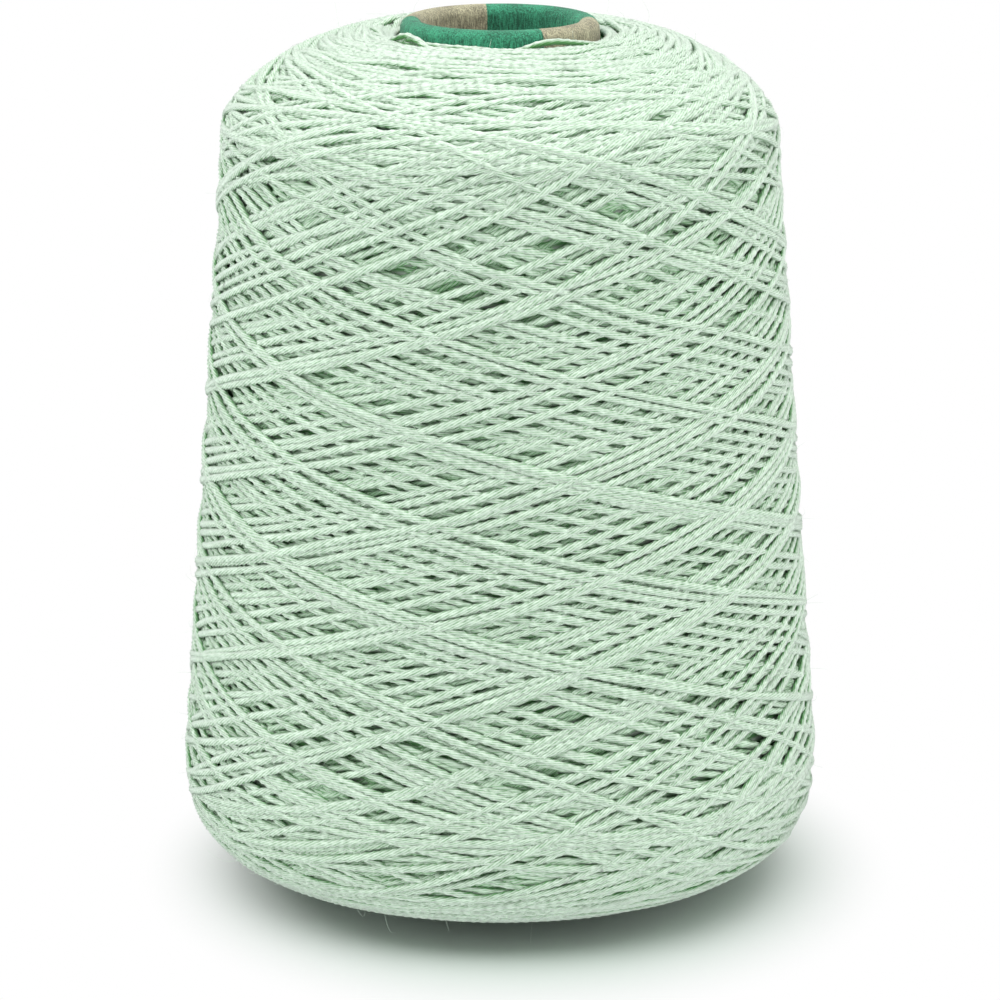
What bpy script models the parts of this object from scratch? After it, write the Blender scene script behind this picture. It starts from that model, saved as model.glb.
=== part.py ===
"""A cross-wound package of cotton yarn on a rolled-nose paper cone.

The paper cone is made of three plies. A printed outer wrap and a structural board are both
folded inward over the nose, and a smooth liner covers the inside of the board up to the fold's
lip. The yarn sits on the cone as one closed solid of revolution with a rounded foot, a tapered
side and a domed crown. Everything turns about the vertical axis, and the cone stands on its open
base at z = 0.
"""

import math

import bmesh
import bpy

MM = 0.001
GAP = 0.3 * MM  # clearance between pieces that touch
SEGMENTS = 72  # sides of every turned piece

# Paper cone
CONE_LENGTH = 170.0 * MM
CONE_HALF_ANGLE = math.radians(4.0 + 20.0 / 60.0)
NOSE_CREST_RADIUS = 16.85 * MM  # from the axis to the middle of the folded nose
NOSE_BEND_RADIUS = 0.5 * MM  # inside of the board's fold
NOSE_STEPS = 8
WRAP_THICKNESS = 0.35 * MM
BOARD_THICKNESS = 0.95 * MM
LINER_THICKNESS = 0.3 * MM
LIP_LENGTH = 5.0 * MM  # the board's turned-in edge, below the middle of the fold
WRAP_OVERHANG = 1.0 * MM  # how far the wrap's turned-in edge passes the board's
LINER_COVER = 2.5 * MM  # how far the lip laps over the liner's top edge

# Yarn package
PACKAGE_BOTTOM = 4.3 * MM  # bare cone below the lowest yarn
NOSE_EXPOSED = 1.7 * MM  # bare nose above the highest yarn
PACKAGE_RADIUS = 62.5 * MM  # at the belly, where the package is widest
PACKAGE_HALF_ANGLE = math.radians(4.2)
FOOT_HEIGHT = 21.6 * MM  # from the lowest yarn up to the belly
FOOT_LAND = 5.0 * MM  # flat ring of yarn around the cone at the foot
FOOT_POWER = 2.4  # of the foot's superellipse, where 2 is an ellipse
CROWN_HEIGHT = 18.3 * MM  # from the shoulder up to the highest yarn
CROWN_LAND = 3.9 * MM  # flat ring of yarn around the nose
CROWN_POWER = 1.51
CORNER_STEPS = 9

SMOOTH_UP_TO = math.radians(35.0)  # a sharper edge than this stays sharp

# What follows from those sizes
CURL_RADIUS = NOSE_BEND_RADIUS + BOARD_THICKNESS + GAP + WRAP_THICKNESS
FOLD_Z = CONE_LENGTH - CURL_RADIUS
BOARD_DEPTH = WRAP_THICKNESS + GAP
LINER_DEPTH = BOARD_DEPTH + BOARD_THICKNESS + GAP
BOARD_LIP_Z = FOLD_Z - LIP_LENGTH
WRAP_LIP_Z = BOARD_LIP_Z - WRAP_OVERHANG
LINER_TOP_Z = BOARD_LIP_Z + LINER_COVER
PACKAGE_TOP = CONE_LENGTH - NOSE_EXPOSED
BELLY_Z = PACKAGE_BOTTOM + FOOT_HEIGHT
SHOULDER_Z = PACKAGE_TOP - CROWN_HEIGHT


def wall_radius(depth, z):
    """Radius at height z of the cone's wall, at a depth measured square to its outer face."""
    curl = CURL_RADIUS - depth
    tangent_r = NOSE_CREST_RADIUS + curl * math.cos(CONE_HALF_ANGLE)
    tangent_z = FOLD_Z + curl * math.sin(CONE_HALF_ANGLE)
    return tangent_r + (tangent_z - z) * math.tan(CONE_HALF_ANGLE)


def folded_line(depth, lip_z):
    """One face of a folded ply: up the wall from z = 0, over the nose and down the lip."""
    curl = CURL_RADIUS - depth
    points = [(wall_radius(depth, 0.0), 0.0)]
    for step in range(NOSE_STEPS + 1):
        turn = CONE_HALF_ANGLE + (math.pi - CONE_HALF_ANGLE) * step / NOSE_STEPS
        points.append((NOSE_CREST_RADIUS + curl * math.cos(turn), FOLD_Z + curl * math.sin(turn)))
    points.append((NOSE_CREST_RADIUS - curl, lip_z))
    return points


def folded_ply(depth, thickness, lip_z):
    """Outline of a ply that is folded inward over the nose."""
    return folded_line(depth, lip_z) + folded_line(depth + thickness, lip_z)[::-1]


def straight_ply(depth, thickness, top_z):
    """Outline of a ply that ends below the nose."""
    outer, inner = depth, depth + thickness
    return [
        (wall_radius(outer, 0.0), 0.0),
        (wall_radius(outer, top_z), top_z),
        (wall_radius(inner, top_z), top_z),
        (wall_radius(inner, 0.0), 0.0),
    ]


def rounded_corner(level, upright, power):
    """Superellipse quarter from the point where it runs level to the one where it runs upright."""
    points = []
    for step in range(CORNER_STEPS + 1):
        turn = 0.5 * math.pi * step / CORNER_STEPS
        across = math.sin(turn) ** (2.0 / power)
        along = max(math.cos(turn), 0.0) ** (2.0 / power)
        r = level[0] + (upright[0] - level[0]) * across
        z = upright[1] + (level[1] - upright[1]) * along
        points.append((r, z))
    return points


def package_outline():
    """Outline of the yarn: the seat on the cone, the foot, the tapered side and the crown."""
    seat_bottom = wall_radius(0.0, PACKAGE_BOTTOM) + GAP / math.cos(CONE_HALF_ANGLE)
    seat_top = wall_radius(0.0, PACKAGE_TOP) + GAP / math.cos(CONE_HALF_ANGLE)
    shoulder_radius = PACKAGE_RADIUS - (SHOULDER_Z - BELLY_Z) * math.tan(PACKAGE_HALF_ANGLE)
    foot = rounded_corner(
        (seat_bottom + FOOT_LAND, PACKAGE_BOTTOM), (PACKAGE_RADIUS, BELLY_Z), FOOT_POWER
    )
    crown = rounded_corner(
        (seat_top + CROWN_LAND, PACKAGE_TOP), (shoulder_radius, SHOULDER_Z), CROWN_POWER
    )
    return [(seat_bottom, PACKAGE_BOTTOM)] + foot + crown[::-1] + [(seat_top, PACKAGE_TOP)]


def linear(colour):
    """Linear RGBA of an sRGB colour written as 0xRRGGBB."""
    channels = [((colour >> shift) & 255) / 255.0 for shift in (16, 8, 0)]
    return [c / 12.92 if c <= 0.04045 else ((c + 0.055) / 1.055) ** 2.4 for c in channels] + [1.0]


def matt_material(name, colour, roughness):
    material = bpy.data.materials.new(name)
    material.use_nodes = True
    shader = material.node_tree.nodes["Principled BSDF"]
    shader.inputs["Base Color"].default_value = linear(colour)
    shader.inputs["Roughness"].default_value = roughness
    shader.inputs["Metallic"].default_value = 0.0
    return material


def turned(name, outline, material, parent):
    """A closed piece turned about the vertical axis from its outline of (radius, height) points."""
    build = bmesh.new()
    corners = [build.verts.new((r, 0.0, z)) for r, z in outline]
    edges = [build.edges.new((a, b)) for a, b in zip(corners, corners[1:] + corners[:1])]
    bmesh.ops.spin(
        build,
        geom=corners + edges,
        cent=(0.0, 0.0, 0.0),
        axis=(0.0, 0.0, 1.0),
        angle=2.0 * math.pi,
        steps=SEGMENTS,
        use_merge=True,
    )
    bmesh.ops.recalc_face_normals(build, faces=build.faces)
    mesh = bpy.data.meshes.new(name)
    build.to_mesh(mesh)
    build.free()
    mesh.shade_smooth()
    mesh.set_sharp_from_angle(angle=SMOOTH_UP_TO)
    mesh.materials.append(material)
    piece = bpy.data.objects.new(name, mesh)
    bpy.context.scene.collection.objects.link(piece)
    piece.parent = parent
    return piece


def clear_scene():
    for old in list(bpy.data.objects):
        bpy.data.objects.remove(old, do_unlink=True)


def main():
    clear_scene()
    axis = bpy.data.objects.new("cone_axis", None)
    bpy.context.scene.collection.objects.link(axis)

    board = matt_material("cone_board", 0xB3A27C, 0.85)
    turned("cone_board", folded_ply(BOARD_DEPTH, BOARD_THICKNESS, BOARD_LIP_Z), board, axis)

    printed = matt_material("cone_outer_wrap", 0x2F8459, 0.75)
    turned("cone_outer_wrap", folded_ply(0.0, WRAP_THICKNESS, WRAP_LIP_Z), printed, axis)

    liner = matt_material("cone_inner_liner", 0xA8946C, 0.8)
    turned("cone_inner_liner", straight_ply(LINER_DEPTH, LINER_THICKNESS, LINER_TOP_Z), liner, axis)

    yarn = matt_material("yarn_package", 0xC8DECB, 0.8)
    turned("yarn_package", package_outline(), yarn, axis)


main()
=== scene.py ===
"""A cone of cross-wound cotton yarn: the strand, the paper cone under it and a studio stage."""

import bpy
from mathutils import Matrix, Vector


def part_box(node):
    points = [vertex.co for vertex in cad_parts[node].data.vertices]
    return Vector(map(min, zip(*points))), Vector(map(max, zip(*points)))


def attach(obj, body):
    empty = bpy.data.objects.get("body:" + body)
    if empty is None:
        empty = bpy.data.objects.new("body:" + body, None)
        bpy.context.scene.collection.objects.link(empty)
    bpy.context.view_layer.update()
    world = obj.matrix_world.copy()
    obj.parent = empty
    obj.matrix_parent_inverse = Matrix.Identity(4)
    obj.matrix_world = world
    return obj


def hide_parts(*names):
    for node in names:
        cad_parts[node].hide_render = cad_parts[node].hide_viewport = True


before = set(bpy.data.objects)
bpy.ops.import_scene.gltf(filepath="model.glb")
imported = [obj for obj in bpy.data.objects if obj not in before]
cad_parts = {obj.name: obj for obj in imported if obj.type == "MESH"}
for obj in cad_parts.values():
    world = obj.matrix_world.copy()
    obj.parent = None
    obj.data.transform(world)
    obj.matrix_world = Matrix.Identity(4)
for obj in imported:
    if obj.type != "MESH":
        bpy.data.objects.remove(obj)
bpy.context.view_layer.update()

import math

import bpy
import numpy as np
from bpy.props import FloatProperty, FloatVectorProperty, IntProperty, PointerProperty
from mathutils import Vector

bl_info = {
    "name": "Yarn cone",
    "version": (1, 0, 0),
    "blender": (4, 5, 0),
    "location": "View3D > Sidebar > Yarn cone",
    "description": "Winds a plied cotton strand on a striped paper cone",
    "category": "Add Mesh",
}

MM = 0.001
TURN = 2.0 * math.pi
BODY = "root"
WRAP_BOX = [list(corner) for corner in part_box("cone_outer_wrap")]
YARN_BOX = [list(corner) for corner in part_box("yarn_package")]


# ------------ Sizes and colours ------------


def linear(value):
    """Linear RGB of an sRGB colour written as 0xRRGGBB."""
    srgb = np.array([(value >> shift) & 255 for shift in (16, 8, 0)]) / 255.0
    return tuple(np.where(srgb <= 0.04045, srgb / 12.92, ((srgb + 0.055) / 1.055) ** 2.4).tolist())


def length(name, text, millimetres):
    """A length of the object, shown in scene units."""
    return FloatProperty(name=name, description=text, default=millimetres * MM, unit="LENGTH", precision=5)


def angle(name, text, degrees):
    return FloatProperty(name=name, description=text, default=math.radians(degrees), unit="ROTATION")


def number(name, text, value):
    return FloatProperty(name=name, description=text, default=value)


def whole(name, text, value):
    return IntProperty(name=name, description=text, default=value)


def colour(name, text, value):
    return FloatVectorProperty(
        name=name, description=text, default=linear(value), subtype="COLOR", min=0.0, max=1.0, size=3
    )


class ConeSizes(bpy.types.PropertyGroup):
    """The paper cone, whose outer wrap is folded in over the nose."""

    half_angle: angle("Half angle", "Lean of the cone's wall", 4.0 + 20.0 / 60.0)
    crest_radius: length("Nose crest radius", "From the axis to the middle of the folded nose", 16.85)
    curl_radius: length("Nose curl radius", "Outside of the fold", 2.1)
    wrap: length("Wrap thickness", "Thickness of the printed outer wrap", 0.35)
    lip: length("Lip length", "How far the wrap is turned in below the middle of the fold", 6.0)
    gap: length("Gap", "Clearance between the cone and what touches it", 0.3)


class PackageSizes(bpy.types.PropertyGroup):
    """The finished outline of the wound yarn."""

    foot_land: length("Foot land", "Flat ring of yarn round the cone at the foot", 5.0)
    foot_height: length("Foot height", "From the lowest yarn up to the belly", 21.6)
    foot_power: number("Foot power", "Superellipse power of the foot", 2.8)
    crown_land: length("Crown land", "Flat ring of yarn round the nose", 3.9)
    crown_height: length("Crown height", "From the shoulder up to the highest yarn", 18.3)
    crown_power: number("Crown power", "Superellipse power of the crown", 1.6)
    nose_dip: length("Nose dip", "How far the yarn falls where it meets the nose", 1.3)
    taper: angle("Taper", "Lean of the package's side", 4.2)


class StrandSizes(bpy.types.PropertyGroup):
    """The plied strand and how it is laid on the package."""

    width: length("Width", "Width of the strand where it lies", 1.8)
    height: length("Height", "Height of the strand, flattened by its tension", 1.38)
    plies: whole("Plies", "Ridges round the strand", 8)
    ply_depth: number("Ply depth", "Groove depth as a share of the radius", 0.3)
    lay: length("Lay", "Length of one turn of the plies", 13.0)
    swell: number("Swell", "Change of the strand's thickness along it", 0.06)
    end_strokes: whole("End strokes", "Short passes that fill each end", 340)
    strokes: whole("Strokes", "Passes between foot and crown", 480)
    turns: number("Turns per stroke", "Turns of the package in a pass", 1.4182)
    seed: whole("Seed", "Start of the random draws", 7)


class Colours(bpy.types.PropertyGroup):
    """The colours of the yarn and of the cone's papers."""

    yarn: colour("Yarn", "Mint green dyed cotton", 0xCFE0D0)
    # painted shade: the darker green that stands for shade in ply grooves, at a strand's sides and deep
    # between strands
    yarn_painted_shade: colour("Yarn in shade", "The yarn between and under the outer strands", 0x569653)
    green: colour("Green stripe", "Printed green of the outer wrap", 0x2F785B)
    tan: colour("Tan stripe", "Bare kraft of the outer wrap", 0x97937A)
    board: colour("Board", "Grey-brown core board", 0xA39272)
    liner: colour("Liner", "Smooth kraft liner", 0xB09A72)


GROUPS = {
    "yarn_cone_cone": ConeSizes,
    "yarn_cone_package": PackageSizes,
    "yarn_cone_strand": StrandSizes,
    "yarn_cone_colours": Colours,
}


# ------------ Meshes and materials ------------


def new_mesh(name, points, loops, loop_totals, maps=None, depth=None):
    """A mesh of polygons given as one run of corner indices and the number of corners of each.

    Faces with up to four corners are smooth and the others, which are end caps, are flat. maps
    holds one place per corner for each UV map's name, and depth is one value per point.
    """
    mesh = bpy.data.meshes.new(name)
    mesh.vertices.add(len(points))
    mesh.vertices.foreach_set("co", np.ascontiguousarray(points, np.float32).ravel())
    mesh.loops.add(len(loops))
    mesh.loops.foreach_set("vertex_index", np.ascontiguousarray(loops, np.int32))
    mesh.polygons.add(len(loop_totals))
    starts = np.concatenate([[0], np.cumsum(loop_totals)[:-1]])
    mesh.polygons.foreach_set("loop_start", starts.astype(np.int32))
    mesh.polygons.foreach_set("use_smooth", np.asarray(loop_totals) <= 4)
    mesh.update(calc_edges=True)
    for map_name, places in (maps or {}).items():
        layer = mesh.uv_layers.new(name=map_name)
        layer.data.foreach_set("uv", np.ascontiguousarray(places, np.float32).ravel())
    if depth is not None:
        attribute = mesh.attributes.new("depth", "FLOAT", "POINT")
        attribute.data.foreach_set("value", np.ascontiguousarray(depth, np.float32))
    mesh.validate()
    return mesh


def new_piece(mesh, material, replaces):
    """Puts a finished mesh in the scene as a piece that rides on the cone, in place of CAD nodes."""
    piece = bpy.data.objects.new(mesh.name, mesh)
    mesh.materials.append(material)
    bpy.context.scene.collection.objects.link(piece)
    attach(piece, BODY)
    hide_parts(*replaces)


def node(tree, kind, inputs=(), **settings):
    """Adds a node of a kind. Settings are its properties.

    Inputs are values, sockets or nodes, in order or by name or index. A node stands for the first
    of its outputs that is in use.
    """
    made = tree.nodes.new("ShaderNode" + kind)
    for key, value in settings.items():
        setattr(made, key, value)
    for key, value in inputs.items() if isinstance(inputs, dict) else enumerate(inputs):
        if isinstance(value, bpy.types.Node):
            value = next(socket for socket in value.outputs if socket.enabled)
        if isinstance(value, bpy.types.NodeSocket):
            tree.links.new(value, made.inputs[key])
        else:
            made.inputs[key].default_value = value
    return made


def new_material(name):
    material = bpy.data.materials.new(name)
    material.use_nodes = True
    material.node_tree.nodes.clear()
    return material, material.node_tree


def rgba(value, shade=1.0):
    """A colour of the property groups as a node's colour, made lighter or darker."""
    return (*(min(shade * channel, 1.0) for channel in value), 1.0)


# ------------ The package's outline ------------

OUTLINE_STEP = 0.25 * MM
NORMAL_BLEND = 3.0 * MM  # the outline's direction is averaged over this much of its length
CORNER_POINTS = 240
DIP_REACH = 3.0  # how many times the crown's land wide the dip beside the nose is
DIP_POWER = 1.5
SAME_PLACE = 1e-9  # metres


def rounded_corner(level, upright, power):
    """Superellipse quarter from where it runs level to where it runs upright.

    With t from 0 to a right angle, the radius goes from level to upright as sin(t)^(2/power),
    and the height from upright back to level as cos(t)^(2/power).
    """
    t = np.linspace(0.0, 0.25 * TURN, CORNER_POINTS)
    across = np.sin(t) ** (2.0 / power)
    along = np.clip(np.cos(t), 0.0, 1.0) ** (2.0 / power)
    r = level[0] + (upright[0] - level[0]) * across
    z = upright[1] + (level[1] - upright[1]) * along
    return np.column_stack([r, z])


def smoothed(values, cells):
    """Running average over an odd number of cells, with the ends held."""
    half = int(cells) // 2
    padded = np.pad(values, half, mode="edge")
    return np.convolve(padded, np.full(2 * half + 1, 1.0 / (2 * half + 1)), mode="valid")


def fade(x):
    """1 up to x = 0, then falling evenly to 0 at x = 1 and beyond."""
    return np.clip(1.0 - x, 0.0, 1.0)


def unit(vectors):
    return vectors / np.linalg.norm(vectors, axis=1, keepdims=True)


def ring_angles(count):
    return TURN * np.arange(count) / count


def cone_radius(cone, z):
    """Radius of the cone's outer wall: a straight line that leans in by the half angle."""
    tangent_r = cone.crest_radius + cone.curl_radius * math.cos(cone.half_angle)
    tangent_z = WRAP_BOX[1][2] - cone.curl_radius + cone.curl_radius * math.sin(cone.half_angle)
    return tangent_r + (tangent_z - z) * math.tan(cone.half_angle)


def seat_radius(cone, z):
    """Radius of the yarn's seat, which clears the cone's wall by the gap."""
    return cone_radius(cone, z) + cone.gap / math.cos(cone.half_angle)


def package_outline(cone, package):
    """The yarn's outline from the cone at the foot, round the belly, to the nose, at even steps.

    Returns the length along it, the radius, the height, and the outward direction's two parts.
    """
    low, high = YARN_BOX[0][2], YARN_BOX[1][2]
    seat_low, seat_high = seat_radius(cone, low), seat_radius(cone, high)
    belly = (YARN_BOX[1][0], low + package.foot_height)
    shoulder_z = high - package.crown_height
    shoulder = (belly[0] - (shoulder_z - belly[1]) * math.tan(package.taper), shoulder_z)
    foot = rounded_corner((seat_low + package.foot_land, low), belly, package.foot_power)
    crown = rounded_corner((seat_high + package.crown_land, high), shoulder, package.crown_power)[::-1]
    near = fade((crown[:, 0] - seat_high) / (DIP_REACH * package.crown_land))
    crown[:, 1] -= package.nose_dip * near**DIP_POWER
    points = np.vstack([[(seat_low, low)], foot, crown, [(seat_high, high - package.nose_dip)]])
    run = np.concatenate([[0.0], np.cumsum(np.hypot(*np.diff(points, axis=0).T))])
    keep = np.concatenate([[True], np.diff(run) > SAME_PLACE])
    run, points = run[keep], points[keep]
    along = np.arange(0.0, run[-1], OUTLINE_STEP)
    r, z = np.interp(along, run, points[:, 0]), np.interp(along, run, points[:, 1])
    blend = int(NORMAL_BLEND / OUTLINE_STEP) | 1
    dr, dz = smoothed(np.gradient(r), blend), smoothed(np.gradient(z), blend)
    size = np.hypot(dr, dz)
    return along, r, z, dz / size, -dr / size


# ------------ Winding ------------

# The route
COLUMNS = 960  # cells round the package, one strand sample in each
EDGE = 0.55  # strand widths between the outermost turns and the outline's ends
REVERSAL = 0.15  # share of a stroke in which the strand turns back, at each end
END_REVERSAL = 0.45  # the same for the short strokes at the foot and the crown
END_TURNS = (0.35, 0.9)  # turns of the package in a short stroke
END_REACH = (5.0 * MM, 24.0 * MM)  # how far a short stroke goes along the outline
CREEP_POWER = 1.8  # the short strokes leave the cone slowly at first
SHIFT_SPREAD = 0.00014  # slow change of the turns per stroke, which widens and narrows the ribbons
SHIFT_STROKES = 30  # strokes in one such change
TURN_REACH = 24.0 * MM  # how far past the shoulders a long stroke turns, at the most
TURN_POWER = 1.2  # most turn nearer than half of that
TURN_SHORT = 1.0 * MM  # and a few up to this much short of the shoulder
TURN_SPAN = 0.42  # turns of the package over which a stroke goes there
LAST_STROKES = 12  # the outermost passes, which cross the others at uneven distances
LAST_SPREAD = 0.035  # change of their turns per stroke
STRAYS = 0.06  # share of strokes that stray from their ribbon
STRAY_TURNS = 0.05
STRAY_PLACE = 5.0 * MM
JITTER_TURNS = 0.0012  # unevenness of the others
SHORT_WANDER, SHORT_BUMP = 0.16, 36  # sideways wander in millimetres, and its bumps in samples
LONG_WANDER, LONG_BUMP = 0.4, 170
WANDER_ROOM = 4.0 * MM  # the wander fades to nothing over this much of the outline at either end
SLACK = 4.5  # how much more a strand wanders beside the cone, where less tension holds it
SLACK_REACH = 36.0 * MM  # along the outline from either end to where it no longer does
SPLINE_SPREAD = 1.6  # brings the spread of a smoothed random line back to about 1

# How it lies
WINDOW = 480  # samples laid at a time, less than one turn
SINK = 0.62  # how far a strand settles into what it crosses, as a share of its height
EVENED = 0.15  # share of a bump or a hollow that is left where the next strand crosses it
TAUT_RADIUS = 26.0 * MM  # the sharpest hollow that the taut strand follows
PACKED = (34.0 * MM, 48.0 * MM)  # from either end, where the turns lie close, to where they don't
PACKED_SINK = 0.8  # the same three there
PACKED_EVENED = 0.05
PACKED_RADIUS = 10.0 * MM
LEVEL_CELLS = 25  # outline cells over which the mean level is averaged
SLIDES = np.linspace(-0.7, 0.7, 9)  # sideways moves that a strand tries, in widths
SLIDE_HELD, SLIDE_FREE = 1.0 * MM, 5.0 * MM  # at either end, where it can't slide, and then over which
SLIDE_COST = 0.3  # the rise a strand puts up with before it slides half its width, in half widths
SLIDE_CHOICE = 0.06  # how sharply the lowest trial is preferred, as a share of the height
SLIDE_BLEND = 25  # samples over which slides are averaged, and the same below for heights
TRIAL_BLEND = 21
HEIGHT_BLEND = 7
LEAD = 64  # laid samples that the next window is pulled straight with
TAUT_SPANS = (2, 4, 8, 16, 32, 16, 8, 4)  # half spans, in samples, over which it is pulled straight
SPARE_CELLS = 12  # outline cells past the last turn


def smooth_noise(rng, count, cells):
    """Random line of about unit spread whose bumps are about that many cells long.

    It is a cubic B-spline whose knots are random heights.
    """
    knots = rng.standard_normal(max(int(count / cells), 4) + 4)
    place = np.linspace(1.0, len(knots) - 3.0, count)
    index = place.astype(int)
    f = place - index
    weights = [
        (1 - f) ** 3 / 6,
        (3 * f**3 - 6 * f**2 + 4) / 6,
        (-3 * f**3 + 3 * f**2 + 3 * f + 1) / 6,
        f**3 / 6,
    ]
    return SPLINE_SPREAD * sum(w * knots[index + j - 1] for j, w in enumerate(weights))


def stroke_ease(t, e):
    """Steady travel from 0 to 1 that starts and ends at rest, with parabolas of share e at both ends."""
    middle = (t - 0.5 * e) / (1.0 - e)
    first = t**2 / (2.0 * e * (1.0 - e))
    last = 1.0 - (1.0 - t) ** 2 / (2.0 * e * (1.0 - e))
    return np.where(t < e, first, np.where(t > 1.0 - e, last, middle))


def end_places(count, inner, outer, rng):
    """Turning places of the short strokes that fill one end of the package.

    Each second place creeps from inner, beside the cone, to outer, at the shoulder. The others
    lie a random reach further out.
    """
    creep = inner + (outer - inner) * np.linspace(0.0, 1.0, count) ** CREEP_POWER
    out = math.copysign(1.0, outer - inner)
    reach = rng.uniform(*END_REACH, count)
    return creep + out * np.where(np.arange(count) % 2 == 0, 0.0, reach)


def strand_route(strand, total, shoulders):
    """Outline place of the strand at each column it passes, from the first turn to the last.

    The strand first fills the crown and then the foot with short strokes that creep outward from
    the cone, and then winds long strokes between the belly and the shoulder. Each stroke eases
    from one turning place to the next. Near a turn it is pushed past the belly or the shoulder by
    (1 - x^2)^2, where x is the distance from the turn over TURN_SPAN. The turns per long stroke are
    near a simple ratio, so strands come back beside earlier ones and form ribbons.
    """
    rng = np.random.default_rng(strand.seed)
    margin = EDGE * strand.width
    ends, long = strand.end_strokes, strand.strokes
    crown = end_places(ends, total - margin, shoulders[1], rng)
    foot = end_places(ends, margin, shoulders[0], rng)
    stray = (rng.random(long + 1) < STRAYS) * rng.standard_normal(long + 1)
    upper = np.arange(long + 1) % 2 == 0
    side = np.where(upper, shoulders[1], shoulders[0]) + STRAY_PLACE * stray
    places = np.clip(np.concatenate([crown, foot, side]), margin, total - margin)
    past = TURN_REACH * rng.random(long + 1) ** TURN_POWER - TURN_SHORT
    past = np.concatenate([np.zeros(2 * ends), np.where(upper, past, -past)])
    turns = strand.turns * (1.0 + SHIFT_SPREAD * smooth_noise(rng, long, SHIFT_STROKES))
    turns = turns + np.diff(STRAY_TURNS * stray + JITTER_TURNS * rng.standard_normal(long + 1))
    turns[-LAST_STROKES:] += LAST_SPREAD * rng.standard_normal(LAST_STROKES)
    short = rng.uniform(*END_TURNS, 2 * ends - 1)
    short[ends - 1] = strand.turns  # from the crown down to the foot
    turns = np.concatenate([short, [strand.turns], turns])
    counts = np.round(turns * COLUMNS).astype(int)
    shares = np.where(turns < 1.0, END_REVERSAL, REVERSAL)
    parts = []
    for i, (count, share) in enumerate(zip(counts, shares)):
        t = np.arange(count) / count
        near = fade((t * turns[i] / TURN_SPAN) ** 2) ** 2
        far = fade(((1.0 - t) * turns[i] / TURN_SPAN) ** 2) ** 2
        stroke = places[i] + (places[i + 1] - places[i]) * stroke_ease(t, share)
        parts.append(stroke + past[i] * near + past[i + 1] * far)
    route = np.concatenate(parts)
    ends = np.minimum(route, total - route)
    slack = 1.0 + SLACK * fade(ends / SLACK_REACH)
    wander = SHORT_WANDER * slack * smooth_noise(rng, len(route), SHORT_BUMP)
    wander = wander + LONG_WANDER * smooth_noise(rng, len(route), LONG_BUMP)
    room = np.clip((ends - 0.5 * strand.width) / WANDER_ROOM, 0.0, 1.0)
    return route + wander * room * MM


def lay_strand(strand, route, r_of):
    """Lays the strand on the package and returns its sideways place and height at each column.

    The package is a grid of heights over columns and outline cells. A window of the strand rests
    on the highest point under its width, where EVENED of the difference from the mean level is
    left, and settles in by SINK. It slides a little towards lower ground, and is pulled straight
    so that it bridges hollows: its height is at least (a + b) / 2 - d^2 / 2R, where a and b are
    the heights a distance d before and after and R is TAUT_RADIUS. Its own top then raises the
    grid. Towards the foot's and the crown's ends the PACKED values of the three take over.
    """
    half_w, half_h = 0.5 * strand.width, 0.5 * strand.height
    cells = int(math.ceil(route.max() / OUTLINE_STEP)) + SPARE_CELLS
    ground = np.zeros((COLUMNS, cells))
    reach = int(half_w / OUTLINE_STEP) + 1
    offsets = np.arange(-reach, reach + 1) * OUTLINE_STEP
    column_width = TURN * np.interp(route, *r_of) / COLUMNS
    slope = np.gradient(route) / column_width
    lean = 1.0 / np.sqrt(1.0 + slope**2)
    slides = SLIDES * strand.width
    ends = np.minimum(route, route.max() - route)
    free = np.clip((ends - SLIDE_HELD) / SLIDE_FREE, 0.0, 1.0)
    packed = np.clip((PACKED[1] - ends) / (PACKED[1] - PACKED[0]), 0.0, 1.0)
    settle = (SINK + (PACKED_SINK - SINK) * packed)[:, None] * strand.height
    evened = (EVENED + (PACKED_EVENED - EVENED) * packed)[:, None]
    bend = column_width**2 / (2.0 * (TAUT_RADIUS + (PACKED_RADIUS - TAUT_RADIUS) * packed))
    place, height = route.copy(), np.zeros(len(route))
    for first in range(0, len(route), WINDOW):
        window = slice(first, min(first + WINDOW, len(route)))
        count = window.stop - window.start
        columns = np.arange(window.start, window.stop)[:, None] % COLUMNS
        across = offsets[None, :] * lean[window, None] / half_w
        inside = np.abs(across) < 1.0
        arch = half_h * np.sqrt(fade(across**2))
        level = smoothed(ground.mean(axis=0), LEVEL_CELLS)

        def rest_at(middle):
            """The cells under the strand, what is laid there, and how high the strand comes to rest."""
            cell = np.clip((middle[:, None] + offsets) / OUTLINE_STEP, 0, cells - 1).astype(int)
            under = ground[columns, cell]
            held = np.maximum(level[cell] + evened[window] * (under - level[cell]) - settle[window], 0.0)
            return cell, under, np.where(inside, held + arch, -1.0).max(axis=1)

        rests = [smoothed(rest_at(route[window] + slide)[2], TRIAL_BLEND) for slide in slides]
        trials = np.array(rests) + (SLIDE_COST * slides**2 / half_w)[:, None]
        weight = np.exp(-(trials - trials.min(axis=0)) / (SLIDE_CHOICE * strand.height))
        slid = smoothed((weight * slides[:, None]).sum(axis=0) / weight.sum(axis=0), SLIDE_BLEND)
        laid = slice(max(first - SLIDE_BLEND + 1, 0), first)
        slid = smoothed(np.concatenate([place[laid] - route[laid], slid]), SLIDE_BLEND)[-count:]
        place[window] = np.clip(route[window] + slid * free[window], 0.5 * half_w, route.max())
        cell, under, h = rest_at(place[window])
        start = max(first - LEAD, 0)
        h = np.concatenate([height[start:first], h])
        for span in TAUT_SPANS:
            padded = np.pad(h, span, mode="edge")
            chord = 0.5 * (padded[: -2 * span] + padded[2 * span :])
            h = np.maximum(h, chord - span**2 * bend[start : window.stop])
        h = smoothed(h, HEIGHT_BLEND)[-count:]
        height[window] = h
        ground[columns, cell] = np.maximum(under, np.where(inside, h[:, None] + arch, 0.0))
    return place, height, ground


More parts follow.
